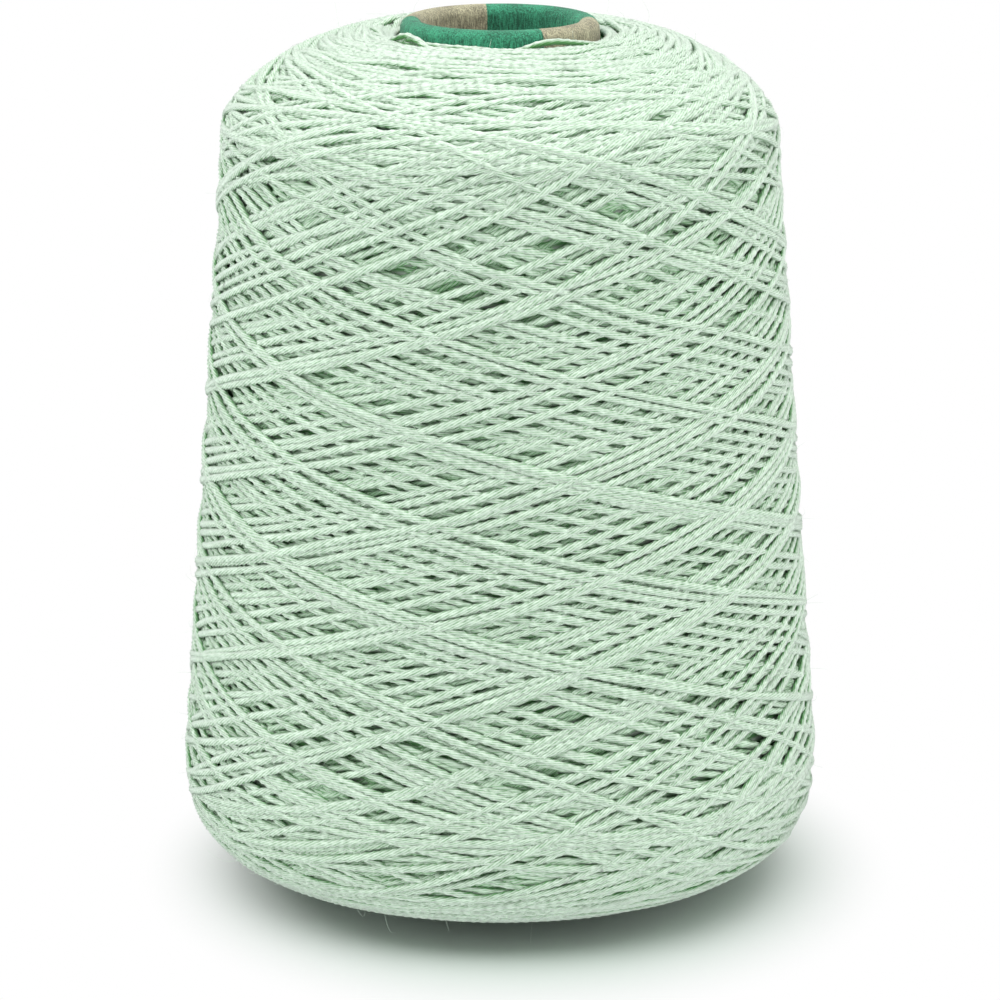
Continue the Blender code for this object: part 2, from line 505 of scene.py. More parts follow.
# Turns that stand up beside the nose: azimuth from the front and half span in degrees, and rise
RAISED = ((-48.0, 15.0, 1.9 * MM), (-42.0, 14.0, 1.6 * MM))
RAISED_NEAR = 3.5 * MM  # from the nose, along the outline
LOOSE_TURNS = 26  # smaller rises of the same kind, all round the nose
LOOSE_HALF_SPAN = (12.0, 26.0)
LOOSE_RISE = (0.2, 0.8)  # millimetres
LOOSE_SEED = 17


def raise_turns(place, height):
    """Lifts parts of turns beside the nose off the others, as yarn stands up there when it is slack.

    A lift is (1 - x^2)^2 of its rise, where x goes from -1 to 1 over the angle it spans. By turns
    it is given to the highest, second and third strand at its azimuth.
    """
    laid = height.copy()
    rng = np.random.default_rng(LOOSE_SEED)
    loose = zip(
        rng.uniform(-180.0, 180.0, LOOSE_TURNS),
        rng.uniform(*LOOSE_HALF_SPAN, LOOSE_TURNS),
        rng.uniform(*LOOSE_RISE, LOOSE_TURNS) * MM,
    )
    for i, (middle, half, rise) in enumerate((*RAISED, *loose)):
        passes = np.arange(int(COLUMNS * (0.5 + middle / 360.0)), len(place) - COLUMNS, COLUMNS)
        near = passes[(place[passes] > place.max() - RAISED_NEAR) & (passes > COLUMNS // 4)]
        top = near[np.argsort(-laid[near])[i % 3]]
        half = int(COLUMNS * half / 360.0)
        span = np.arange(-half, half + 1)
        height[top + span] += rise * (1.0 - (span / half) ** 2) ** 2


# ------------ The strand as tubes ------------

ENVELOPE_SHARE = 88.0  # percentile of the laid heights that lies on the package's outline
ENVELOPE_BLEND = 3.5 * MM  # the depth of what is laid is averaged over this much of the outline
END_CELLS = 2.5 * MM
SWELL_SAMPLES = 45  # length of the strand's thick and thin stretches
SWELL_SEED = 3
DIVE = 4.0 * MM  # length over which the end of a run sinks under what covers it
DIVE_DEPTH = 0.9  # how far it sinks, as a share of its height
RING_STEP = 2.0 * MM  # length of strand between rings
LOW_RING_STEP = 4.0 * MM  # the same where the strand lies low and has no ridges of its own
LOW = 0.45 * MM  # a run that stays this far below the outline is made with the plainer section
LOW_FILL = 0.4  # share of the groove's depth that such a section lies below the ridges
SEEN_AT = (-0.95, -0.7, -0.35, 0.0, 0.35, 0.7, 0.95)  # across the strand, in half widths
HIDDEN_BY = 0.17 * MM  # a strand this far below the top everywhere is left out
TUCK = 4.5 * MM  # how far a seen run goes on under what covers it
CORE_DEPTH = 2.3 * MM  # from the outline to the packed yarn, above which single strands are made
PIECE_FACES = 76000  # quads in a piece, which keeps it under its limit of triangles
RUN_SHARE = 0.2  # the longest run, as a share of that

# In the map for baking, the tubes start this far up a row and fill this much of it. Their caps
# are discs in the rest of the row, whose middles and radii are given along the row and up it.
ROW_BAND = (0.03, 0.91)
CAP_MIDDLE = (0.5, 0.97)
CAP_RADII = (0.3, 0.015)


def turned_vectors(columns, outward, upward):
    """World vectors for parts that point away from the axis and up it, at places round it.

    Column 0, where the strand starts and ends, is at the back.
    """
    turn = TURN * (columns / COLUMNS + 0.5)
    return np.column_stack([outward * np.sin(turn), -outward * np.cos(turn), upward])


def laid_depth(ground, cells):
    """How deep the laid strands are at each outline cell, so that their tops meet the outline.

    The last cells at each end, which only half a strand covers, take the depth beside them.
    """
    depth = np.percentile(ground[:, :cells], ENVELOPE_SHARE, axis=0)
    edge = int(END_CELLS / OUTLINE_STEP)
    depth[:edge] = depth[edge]
    depth[-edge:] = depth[-edge]
    return smoothed(depth, int(ENVELOPE_BLEND / OUTLINE_STEP) | 1)


def strand_frames(strand, outline, place, height, envelope):
    """Centre line of the strand in space, its direction, outward direction, length and thickness."""
    along, r, z, nr, nz = outline
    columns = np.arange(len(place), dtype=float)
    at = [np.interp(place, along, values) for values in (r, z, nr, nz)]
    lift = height - np.interp(place, along, envelope)
    centre = turned_vectors(columns, at[0] + lift * at[2], at[1] + lift * at[3])
    outward = turned_vectors(columns, at[2], at[3])
    step = np.gradient(centre, axis=0)
    size = np.linalg.norm(step, axis=1)
    swell = smooth_noise(np.random.default_rng(SWELL_SEED), len(place), SWELL_SAMPLES)
    return centre, step / size[:, None], outward, np.cumsum(size), 1.0 + strand.swell * swell


def seen_runs(strand, place, height, ground, run, depth):
    """Where each stretch of strand that can be seen starts and stops, as lengths along the strand.

    A sample is seen where it lies above the core, and the strand's own top, at its middle or to
    either side, is near the top of everything laid there. Stretches are lengthened so that their
    ends tuck under, and joined where they meet.
    """
    columns = np.arange(len(place)) % COLUMNS
    seen = np.zeros(len(place), bool)
    for side in SEEN_AT:
        cell = ((place + side * 0.5 * strand.width) / OUTLINE_STEP).astype(int)
        own = height + 0.5 * strand.height * math.sqrt(1.0 - side**2)
        seen |= own > ground[columns, np.clip(cell, 0, ground.shape[1] - 1)] - HIDDEN_BY
    marks = np.flatnonzero(seen & (depth < CORE_DEPTH))
    starts = run[marks] - TUCK
    stops = run[marks] + TUCK
    cut = np.flatnonzero(starts[1:] > stops[:-1])
    first = starts[np.concatenate([[0], cut + 1])]
    last = stops[np.concatenate([cut, [len(marks) - 1]])]
    return np.clip(first, run[0], run[-1]), np.clip(last, run[0], run[-1])


def tube_faces(rings, sides, ends):
    """Corners of the quads between neighbouring rings, except across run ends, and of the caps."""
    ring = np.arange(rings)[:, None]
    side = np.arange(sides)[None, :]
    ahead = (side + 1) % sides
    corners = ((0, side), (1, side), (1, ahead), (0, ahead))
    quads = np.stack([(ring + step) * sides + place for step, place in corners], -1)
    is_end = np.zeros(rings, bool)
    is_end[ends] = True
    body = quads[~is_end].reshape(-1, 4)
    first = np.concatenate([[0], ends[:-1] + 1])
    start_caps = first[:, None] * sides + side
    end_caps = ends[:, None] * sides + side[:, ::-1]
    caps = np.vstack([start_caps, end_caps])
    loops = np.concatenate([body.ravel(), caps.ravel()])
    totals = np.concatenate([np.full(len(body), 4), np.full(len(caps), sides)])
    return loops, totals, np.flatnonzero(~is_end), np.concatenate([first, ends])


def tube_maps(sides, segments, cap_rings, run, step, girth):
    """Two maps for tubes: along and around the strand, and rows that fill a square for baking."""
    around = np.arange(sides)
    near, far = run[segments], run[segments + 1]
    strand_u = np.column_stack([near, far, far, near])[:, None, :]
    strand_v = (around[:, None] + np.array([0.0, 0.0, 1.0, 1.0])) / sides
    body = np.stack(np.broadcast_arrays(strand_u, strand_v[None]), -1).reshape(-1, 2)
    caps = np.column_stack([np.repeat(run[cap_rings], sides), np.tile(around / sides, len(cap_rings))])
    strand_map = np.vstack([body, caps])
    count = len(segments)
    per_row = int(math.ceil(math.sqrt(count * girth / step)))
    rows = int(math.ceil(count / per_row))
    place = np.arange(count)
    row_u = ((place % per_row)[:, None, None] + np.array([0.0, 1.0, 1.0, 0.0])) / per_row
    row_v = ((place // per_row)[:, None, None] + ROW_BAND[0] + ROW_BAND[1] * strand_v[None]) / rows
    body = np.stack(np.broadcast_arrays(row_u, row_v), -1).reshape(-1, 2)
    turn = ring_angles(sides)
    index = np.arange(len(cap_rings)) % (per_row * rows)
    cap_u = ((index % per_row)[:, None] + CAP_MIDDLE[0] + CAP_RADII[0] * np.cos(turn)) / per_row
    cap_v = ((index // per_row)[:, None] + CAP_MIDDLE[1] + CAP_RADII[1] * np.sin(turn)) / rows
    caps = np.stack([cap_u, cap_v], -1).reshape(-1, 2)
    return {"strand": strand_map, "OFBake": np.vstack([body, caps])}


def split_runs(starts, stops, longest):
    """Cuts runs into equal parts no longer than that, which meet end to end.

    Each row holds a part's start and stop, and those of the run that it is cut from.
    """
    parts = np.ceil((stops - starts) / longest).astype(int)
    edges = [np.linspace(a, b, n + 1) for a, b, n in zip(starts, stops, parts)]
    first = np.concatenate([e[:-1] for e in edges])
    last = np.concatenate([e[1:] for e in edges])
    return np.column_stack([first, last, np.repeat(starts, parts), np.repeat(stops, parts)])


def strand_mesh(name, strand, frames, runs, depth, low):
    """Runs of the strand as closed tubes whose ridges follow its plies.

    Each ring is an ellipse, wide along the package and low away from it. Its corners are in turn
    on a ply's ridge and in the groove beside it, and turn with the plies along the strand. A low
    run has one corner for each ply, between its ridge and its groove. The ends of a whole run sink
    by the square of how far into them a ring is.
    """
    centre, tangent, outward, run, thickness = frames
    starts, stops, heads, tails = runs.T
    ring_step = LOW_RING_STEP if low else RING_STEP
    counts = np.maximum(np.round((stops - starts) / ring_step).astype(int), 2) + 1
    places = np.concatenate([np.linspace(a, b, n) for a, b, n in zip(starts, stops, counts)])
    ends = np.cumsum(counts) - 1
    samples = np.arange(len(run), dtype=float)
    sample = np.interp(places, run, samples)

    def at(vectors):
        return np.column_stack([np.interp(sample, samples, values) for values in vectors.T])

    middle, forward, up = at(centre), at(tangent), at(outward)
    spare = np.minimum(places - np.repeat(heads, counts), np.repeat(tails, counts) - places)
    dive = fade(spare / DIVE) ** 2
    middle -= up * (DIVE_DEPTH * strand.height * dive)[:, None]
    forward = unit(forward)
    up -= forward * (up * forward).sum(axis=1, keepdims=True)
    up = unit(up)
    across = np.cross(up, forward)
    sides = strand.plies if low else 2 * strand.plies
    turn = ring_angles(sides) + TURN * places[:, None] / strand.lay
    ridge = np.where(np.arange(sides) % 2 == 0, 1.0, 1.0 - strand.ply_depth)
    if low:
        ridge = np.full(sides, 1.0 - LOW_FILL * strand.ply_depth)
    ridge = ridge * np.interp(sample, samples, thickness)[:, None]
    rise = 0.5 * strand.height * ridge * np.cos(turn)
    reach = 0.5 * strand.width * ridge * np.sin(turn)
    points = middle[:, None] + up[:, None] * rise[..., None] + across[:, None] * reach[..., None]
    loops, totals, segments, cap_rings = tube_faces(len(places), sides, ends)
    maps = tube_maps(sides, segments, cap_rings, places, ring_step, math.pi * strand.width)
    shade = np.repeat(np.interp(sample, samples, depth), sides)
    return new_mesh(name, points.reshape(-1, 3), loops, totals, maps, shade)


# ------------ Turned pieces ------------

WRAP_COLUMNS = 576
WRAP_RINGS = (6, 6, 20, 14)  # on the wall, on its top part, on the fold and on the lip
WALL_TOP, NEAR_BOTTOM, NEAR_TOP = 8.0 * MM, 7.0 * MM, 1.0 * MM  # below the fold
PLEATS = 52  # small folds in the lip, where the paper's edge has less way to go round
PLEAT_HEIGHT = 0.7 * MM
PLEAT_WIDTHS = (0.35, 1.65)  # as shares of the mean
PLEAT_SHARES = (0.2, 1.0)  # of the full height
PLEAT_POWER = 0.7
PLEATED = (0.35, 0.65)  # how much the pleats rise over the fold's inner half, and then down the lip
DENT = 0.16 * MM  # unevenness of the rolled nose
DENT_WAVES = 18
DENT_REACH = 4.0 * MM  # how far below the fold it starts
WRAP_SEED = 11

CORE_CELLS = 6  # outline cells between the core's rings
CORE_COLUMNS = 144
CORE_BORE_RINGS = 12
CORE_WALL = 0.4 * MM  # the thinnest that the core gets at its ends


def turned_mesh(name, profile, columns, push=0.0):
    """Closed ring whose section is the profile, a closed line of (radius, height) points.

    Point (i, j) is profile point i at azimuth j / columns of a turn, (r sin a, -r cos a, z).
    push[i, j] is added to its radius.
    """
    count = len(profile)
    a = ring_angles(columns)
    r = np.broadcast_to(profile[:, 0][:, None] + push, (count, columns))
    z = np.broadcast_to(profile[:, 1][:, None], (count, columns))
    points = np.stack([r * np.sin(a), -r * np.cos(a), z], -1).reshape(-1, 3)
    i, j = np.meshgrid(np.arange(count), np.arange(columns), indexing="ij")
    ahead, beside = (i + 1) % count, (j + 1) % columns
    corners = ((i, j), (i, beside), (ahead, beside), (ahead, j))
    quads = np.stack([row * columns + column for row, column in corners], -1)
    steps = np.hypot(*(np.roll(profile, -1, axis=0) - profile).T)
    run = np.concatenate([[0.0], np.cumsum(steps)]) / steps.sum()
    u = np.stack([j, j + 1, j + 1, j], -1) / columns
    v = np.stack([run[i], run[i], run[i + 1], run[i + 1]], -1)
    maps = {"OFBake": np.stack([u, v], -1).reshape(-1, 2)}
    return new_mesh(name, points, quads.ravel(), np.full(count * columns, 4), maps)


def wrap_line(cone, depth):
    """One face of the wrap from the base up the wall, over the fold and down the lip.

    The wall is straight, the fold is an arc about (crest radius, fold height) whose radius is the
    curl less the depth, and the lip is upright.
    """
    curl = cone.curl_radius - depth
    fold_z = WRAP_BOX[1][2] - cone.curl_radius
    wall_z = np.linspace(WRAP_BOX[0][2], fold_z - WALL_TOP, WRAP_RINGS[0])
    near_z = np.linspace(fold_z - NEAR_BOTTOM, fold_z - NEAR_TOP, WRAP_RINGS[1])
    z = np.concatenate([wall_z, near_z])
    wall = np.column_stack([cone_radius(cone, z) - depth / math.cos(cone.half_angle), z])
    turn = np.linspace(cone.half_angle, 0.5 * TURN, WRAP_RINGS[2])
    fold = np.column_stack([cone.crest_radius + curl * np.cos(turn), fold_z + curl * np.sin(turn)])
    down = np.linspace(fold_z, fold_z - cone.lip, WRAP_RINGS[3])[1:]
    lip = np.column_stack([np.full(len(down), cone.crest_radius - curl), down])
    return np.vstack([wall, fold, lip])


def pleats(columns, rng):
    """Height of the lip's small folds round the nose, from 0 in a valley to about 1 on a fold.

    Each fold is |sin|^PLEAT_POWER of the way across it, times its own height.
    """
    widths = rng.uniform(*PLEAT_WIDTHS, PLEATS)
    edges = np.concatenate([[0.0], np.cumsum(widths)]) / widths.sum()
    place = np.interp(np.arange(columns) / columns, edges, np.arange(PLEATS + 1))
    index = np.minimum(place.astype(int), PLEATS - 1)
    heights = rng.uniform(*PLEAT_SHARES, PLEATS)
    return np.abs(np.sin(math.pi * (place - index))) ** PLEAT_POWER * heights[index]


def ring_noise(rng, columns, waves):
    """Smooth random line round a ring: a sum of that many waves with falling heights."""
    a = ring_angles(columns)[:, None]
    k = np.arange(2, waves + 2)
    return (np.sin(a * k + rng.uniform(0.0, TURN, waves)) / np.sqrt(k)).sum(axis=1) / math.sqrt(waves)


def wrap_mesh(cone):
    """The outer wrap: a thin sheet folded in over the nose, its lip gathered in small pleats."""
    rng = np.random.default_rng(WRAP_SEED)
    profile = np.vstack([wrap_line(cone, 0.0), wrap_line(cone, cone.wrap)[::-1]])
    fold_z = WRAP_BOX[1][2] - cone.curl_radius
    inside = np.clip((cone.crest_radius - profile[:, 0]) / cone.curl_radius, 0.0, 1.0)
    below = np.clip((fold_z - profile[:, 1]) / cone.lip, 0.0, 1.0) * (inside > 0.5)
    gathered = PLEATED[0] * inside**2 + PLEATED[1] * below
    nose = np.clip((profile[:, 1] - fold_z + DENT_REACH) / DENT_REACH, 0.0, 1.0)
    push = -PLEAT_HEIGHT * gathered[:, None] * pleats(WRAP_COLUMNS, rng)
    push = push + DENT * nose[:, None] * ring_noise(rng, WRAP_COLUMNS, DENT_WAVES)
    return turned_mesh("cone_outer_wrap_folded", profile, WRAP_COLUMNS, push)


def core_mesh(outline, depth, cone):
    """The yarn under the outer strands: the outline moved inward by a depth at each place."""
    r, z, nr, nz = outline[1:]
    r_in, z_in = (r - depth * nr)[::CORE_CELLS], (z - depth * nz)[::CORE_CELLS]
    skin = np.column_stack([np.maximum(r_in, seat_radius(cone, z_in) + CORE_WALL), z_in])
    seat_z = np.linspace(skin[-1, 1], skin[0, 1], CORE_BORE_RINGS)
    bore = np.column_stack([seat_radius(cone, seat_z), seat_z])
    return turned_mesh("yarn_core", np.vstack([skin, bore]), CORE_COLUMNS)


# ------------ Stray fibres ------------

FIBRES = 800
FIBRE_RINGS = 8
FIBRE_SIDES = 3
FIBRE_SEED = 5
FIBRE_RADIUS = 0.035 * MM  # coarser than a 0.01 mm cotton fibre, so that it shows
FIBRE_TAPER = 0.55  # how much thinner its tip is
FIBRE_LENGTH = (1.0 * MM, 4.5 * MM)
FIBRE_ROOT = 0.35  # strand heights from the strand's centre line
FIBRE_SPAN = (0.1, 0.9)  # shares of a run between which fibres stand
FIBRE_LEAN = (0.12, 0.6)  # from the strand's own direction, 0, to the outward one, 1
FIBRE_SPREAD = 0.7  # of the direction, then of the bend and the wave as shares of the length
FIBRE_BEND = 0.4
FIBRE_WAVE = 0.16
FIBRE_DROOP = 0.25  # share of the length by which the tip bends back to the package
FIBRE_SKEW = 0.01  # keeps the direction that its sides are turned from off its own


def fibre_mesh(strand, frames, starts, stops):
    """Loose fibre ends that stand out of the seen strands.

    A fibre is root + t d + t^2 c + sin(pi t) w, with t from 0 to 1, a direction d that leans from
    the strand's own to the outward one, and random bends c and w.
    """
    rng = np.random.default_rng(FIBRE_SEED)
    centre, tangent, outward, run = frames[:4]
    each = (FIBRES, 1)
    share = (stops - starts) / (stops - starts).sum()
    pick = rng.choice(len(starts), FIBRES, p=share)
    place = starts[pick] + (stops - starts)[pick] * rng.uniform(*FIBRE_SPAN, FIBRES)
    sample = np.searchsorted(run, place)
    root = centre[sample] + FIBRE_ROOT * strand.height * outward[sample]
    size = rng.uniform(*FIBRE_LENGTH, each)
    lean = rng.uniform(*FIBRE_LEAN, each)
    way = tangent[sample] * rng.choice([-1.0, 1.0], each)
    way = way + FIBRE_SPREAD * rng.standard_normal((FIBRES, 3))
    start = (unit(way) * (1.0 - lean) + outward[sample] * lean) * size
    bend = FIBRE_BEND * size * rng.standard_normal((FIBRES, 3)) - FIBRE_DROOP * size * outward[sample]
    wave = FIBRE_WAVE * size * rng.standard_normal((FIBRES, 3))
    t = np.linspace(0.0, 1.0, FIBRE_RINGS)[None, :, None]
    line = root[:, None] + t * start[:, None] + t**2 * bend[:, None] + np.sin(math.pi * t) * wave[:, None]
    side = unit(np.cross(start, outward[sample] + FIBRE_SKEW))
    other = np.cross(unit(start), side)
    turn = ring_angles(FIBRE_SIDES)
    radius = FIBRE_RADIUS * (1.0 - FIBRE_TAPER * t[..., None])
    ring = side[:, None, None] * np.cos(turn)[:, None] + other[:, None, None] * np.sin(turn)[:, None]
    points = (line[:, :, None] + radius * ring).reshape(-1, 3)
    points[:, 2] = np.maximum(points[:, 2], 2.0 * FIBRE_RADIUS)
    rings = FIBRES * FIBRE_RINGS
    ends = np.arange(1, FIBRES + 1) * FIBRE_RINGS - 1
    loops, totals, segments, cap_rings = tube_faces(rings, FIBRE_SIDES, ends)
    maps = tube_maps(FIBRE_SIDES, segments, cap_rings, np.arange(rings) * MM, 1.0, 1.0)
    return new_mesh("stray_fibres", points, loops, totals, maps)


# ------------ Finishes ------------

FACTOR, FIRST, SECOND = 0, 6, 7  # inputs of a mix of two colours
NOISE_RANGE = (0.3, 0.7)  # where nearly all of a noise's values lie
FIBRE_PITCH = 0.16 * MM  # real cotton fibres are 0.015 mm apart, drawn coarser so that they show
FIBRE_RUN = 14.0  # how many times longer than wide they are
TUFT_STRETCH = (0.2, 0.2, 1.4)  # turns a place among fibres into one among tufts, 0.8 by 1.6 mm
SLUB = 9.0 * MM  # length of the paler and darker stretches of the strand
GROOVE_SHADE = 0.55  # painted shade: how far the grooves between plies go towards the darker green
FLANK_SHADE = 0.9  # painted shade: the same for the strand's sides, where it lies against the next
DEEP_SHADE = 0.75  # painted shade: the same for strands that lie deep under others
DEEP_RANGE = (0.4 * MM, 2.4 * MM)  # from the outline to where that painted shade starts and is full
BAND_STEP = 0.314  # from band to band of a wave texture whose scale is 1
NAP_PITCH, NAP_RUN = 0.28 * MM, 1.7 * MM  # width and length of the wrap's brushed hairs
NAP_SLANT = (0.6, 0.9, 0.5)
NAP_FINE, NAP_BROAD = 0.3 * MM, 5.0 * MM  # grains of the paper under them, and its cloudiness
NAP_SHARES = (0.65, 0.5, 0.35)  # of the hairs, the grains and the cloudiness in its height
NAP_BASE = -0.32
NAP_RANGE = (0.31, 0.58)
INK_SHADES, KRAFT_SHADES = (0.45, 1.8), (0.5, 1.5)  # darkest and lightest of a stripe's colour
STRIPE_BLEED = 0.012  # wander of the printed edges, in radians
STRIPE_GRAIN = 1.2 * MM
TAN_STRIPES = [(math.radians(a), math.radians(b)) for a, b in ((26.0, 90.0), (-170.0, -93.0))]
FLECK_SPREAD = 0.35  # flecks in a paper for each of its fibres, along a line
FLECK_RANGE = (0.62, 0.7)  # only the highest noise makes one
FLECK_DARK = 0.35


def finished(material, bump, surface):
    """Closes a material with a Principled shader and a bump, which is a height, strength and distance."""
    tree = material.node_tree
    height, strength, distance = bump
    rise = node(tree, "Bump", {"Height": height, "Strength": strength, "Distance": distance})
    shader = node(tree, "BsdfPrincipled", {"Normal": rise, **surface})
    node(tree, "OutputMaterial", [shader])
    return material


def cotton_yarn(strand, colours):
    """Ring-spun cotton, plied and dyed mint.

    It is matt and soft. Fibres run along the strand, and the strand is a little paler and darker along
    its length. It has painted shade: a darker green in each ply's groove, on its sides where it lies
    against the next strand, and where it lies deep between other strands.
    """
    material, tree = new_material("Cotton yarn, plied and dyed")
    parts = node(tree, "SeparateXYZ", [node(tree, "UVMap", uv_map="strand")])
    run, around = parts.outputs["X"], parts.outputs["Y"]
    depth = node(tree, "Attribute", attribute_name="depth").outputs["Fac"]
    turned = node(tree, "Math", (run, 1.0 / strand.lay, around), operation="MULTIPLY_ADD")
    turn = node(tree, "Math", (turned, TURN), operation="MULTIPLY")
    east = node(tree, "Math", [turn], operation="COSINE")
    north = node(tree, "Math", [turn], operation="SINE")
    size = 0.5 * strand.width / FIBRE_PITCH
    section = {0: node(tree, "CombineXYZ", (east, north)), "Scale": size}
    section = node(tree, "VectorMath", section, operation="SCALE")
    along = node(tree, "Math", (run, 1.0 / (FIBRE_RUN * FIBRE_PITCH)), operation="MULTIPLY")
    place = node(tree, "VectorMath", (section, node(tree, "CombineXYZ", {"Z": along})), operation="ADD")
    fibres = node(tree, "TexNoise", {"Vector": place, "Scale": 1.0, "Detail": 3.0, "Roughness": 0.6})
    place = node(tree, "VectorMath", (place, TUFT_STRETCH), operation="MULTIPLY")
    tufts = node(tree, "TexNoise", {"Vector": place, "Scale": 1.0, "Detail": 2.0})
    slub_place = node(tree, "CombineXYZ", [run])
    slubs = node(tree, "TexNoise", {"Vector": slub_place, "Scale": 1.0 / SLUB, "Detail": 3.0})
    ply = node(tree, "Math", (around, TURN * strand.plies), operation="MULTIPLY")
    ply = node(tree, "Math", [ply], operation="COSINE")
    # each a value, its range, and what that becomes; the rows for the groove, the depth and the flank are
    # painted shade
    ranges = (
        (ply, -0.2, -1.0, 0.0, GROOVE_SHADE),
        (tufts, *NOISE_RANGE, 0.3, 1.5),
        (depth, *DEEP_RANGE, 0.0, DEEP_SHADE),
        (east, 0.66, -0.05, 0.0, FLANK_SHADE),
        (slubs, *NOISE_RANGE, 0.9, 1.04),
        (fibres, *NOISE_RANGE, 0.86, 1.06),
        (tufts, *NOISE_RANGE, 1.08, 0.9),
    )
    groove, opened, deep, flank, tone, streak, tuft = [node(tree, "MapRange", values) for values in ranges]
    groove = node(tree, "Math", (groove, opened), operation="MULTIPLY")
    # painted shade: the grooves, the depth and the flanks add up to how far the yarn goes towards the
    # darker green
    shade = node(tree, "Math", (groove, deep), operation="ADD")
    shade = node(tree, "Math", (shade, flank), operation="ADD", use_clamp=True)
    tone = node(tree, "Math", (tone, streak), operation="MULTIPLY")
    tone = node(tree, "Math", (tone, tuft), operation="MULTIPLY")
    # the dyed mint, with the painted shade mixed in
    colour_pair = {FACTOR: shade, FIRST: rgba(colours.yarn), SECOND: rgba(colours.yarn_painted_shade)}
    dyed = node(tree, "Mix", colour_pair, data_type="RGBA")
    surface = {
        "Base Color": node(tree, "VectorMath", {0: dyed, "Scale": tone}, operation="SCALE"),
        "Roughness": 0.88,
        "IOR": 1.45,
        "Specular IOR Level": 0.3,
        "Sheen Weight": 0.45,
        "Sheen Roughness": 0.42,
        "Sheen Tint": (0.93, 1.0, 0.93, 1.0),
    }
    return finished(material, (fibres, 0.5, 0.12 * MM), surface)


def packed_yarn(strand, colours):
    """The lower layers of the cotton, seen only between strands, with painted shade: a dark green made
    from both yarn colours darkened, in level bands.
    """
    material, tree = new_material("Cotton yarn, packed under the outer layers")
    waves = {
        "Vector": node(tree, "TexCoord").outputs["Object"],
        "Scale": BAND_STEP / strand.width,
        "Distortion": 3.0,
        "Detail": 2.0,
        "Detail Scale": 0.3,
    }
    bands = node(tree, "TexWave", waves, bands_direction="Z").outputs["Fac"]
    # painted shade: both colours are darkened, the shaded green to 0.6 and the mint to 0.42
    colour_pair = {FACTOR: bands, FIRST: rgba(colours.yarn_painted_shade, 0.6), SECOND: rgba(colours.yarn, 0.42)}
    surface = {"Base Color": node(tree, "Mix", colour_pair, data_type="RGBA"), "Roughness": 0.92}
    return finished(material, (bands, 0.8, 0.4 * MM), surface)


def printed_wrap(colours):
    """Kraft wrap paper printed with broad green stripes and brushed to a nap, so that yarn grips it.

    The stripes run along the cone with clean edges. The nap gives short pale and dark hairs at a
    slant, and a matt face.
    """
    material, tree = new_material("Kraft wrap paper, printed and brushed")
    place = node(tree, "TexCoord").outputs["Object"]
    parts = node(tree, "SeparateXYZ", [place])
    behind = node(tree, "Math", (parts.outputs["Y"], -1.0), operation="MULTIPLY")
    azimuth = node(tree, "Math", (parts.outputs["X"], behind), operation="ARCTAN2")
    wobble = node(tree, "TexNoise", {"Vector": place, "Scale": 1.0 / STRIPE_GRAIN, "Detail": 2.0})
    azimuth = node(tree, "Math", (wobble, STRIPE_BLEED, azimuth), operation="MULTIPLY_ADD")
    tan = 0.0
    for first, last in TAN_STRIPES:
        after = node(tree, "Math", (azimuth, first), operation="GREATER_THAN")
        before = node(tree, "Math", (azimuth, last), operation="LESS_THAN")
        tan = node(tree, "Math", (after, before, tan), operation="MULTIPLY_ADD")
    scale = (1.0 / NAP_PITCH, 1.0 / NAP_PITCH, 1.0 / NAP_RUN)
    slant = node(tree, "Mapping", {"Vector": place, "Rotation": NAP_SLANT, "Scale": scale})
    hairs = {"Vector": slant, "Scale": 1.0, "Detail": 3.0, "Roughness": 0.62}
    fine = {"Vector": place, "Scale": 1.0 / NAP_FINE, "Detail": 2.0, "Roughness": 0.7}
    broad = {"Vector": place, "Scale": 1.0 / NAP_BROAD, "Detail": 2.0}
    nap = NAP_BASE
    for noise, share in zip((hairs, fine, broad), NAP_SHARES):
        nap = node(tree, "Math", (node(tree, "TexNoise", noise), share, nap), operation="MULTIPLY_ADD")
    level = node(tree, "MapRange", (nap, *NAP_RANGE))
    faces = []
    for ink, (dark, light) in ((colours.green, INK_SHADES), (colours.tan, KRAFT_SHADES)):
        inks = {FACTOR: level, FIRST: rgba(ink, dark), SECOND: rgba(ink, light)}
        faces.append(node(tree, "Mix", inks, data_type="RGBA"))
    stripes = {FACTOR: tan, FIRST: faces[0], SECOND: faces[1]}
    surface = {
        "Base Color": node(tree, "Mix", stripes, data_type="RGBA"),
        "Roughness": 0.85,
        "Specular IOR Level": 0.3,
        "Sheen Weight": 0.12,
        "Sheen Roughness": 0.45,
    }
    return finished(material, (nap, 0.9, 0.3 * MM), surface)


def paper(name, base, pitch, contrast, roughness):
    """Kraft paper made of short fibres: specks and strands of paler and darker brown.

    The fibres lie at all angles in the sheet, and recycled stock carries a few dark flecks.
    """
    material, tree = new_material(name)
    place = node(tree, "TexCoord").outputs["Object"]
    grain = {"Vector": place, "Scale": 1.0 / pitch, "Detail": 4.0, "Roughness": 0.65}
    fibres = node(tree, "TexNoise", grain)
    flecks = node(tree, "TexNoise", {"Vector": place, "Scale": FLECK_SPREAD / pitch, "Detail": 2.0})
    flecks = node(tree, "MapRange", (flecks, *FLECK_RANGE, 0.0, 0.5))
    level = node(tree, "MapRange", (fibres, *NOISE_RANGE))
    browns = {FACTOR: level, FIRST: rgba(base, 1.0 - contrast), SECOND: rgba(base, 1.0 + contrast)}
    sheet = node(tree, "Mix", browns, data_type="RGBA")
    flecked = {FACTOR: flecks, FIRST: sheet, SECOND: rgba(base, FLECK_DARK)}
    sheet = node(tree, "Mix", flecked, data_type="RGBA")
    surface = {"Base Color": sheet, "Roughness": roughness, "Specular IOR Level": 0.3}
    return finished(material, (fibres, 0.5, 0.15 * MM), surface)


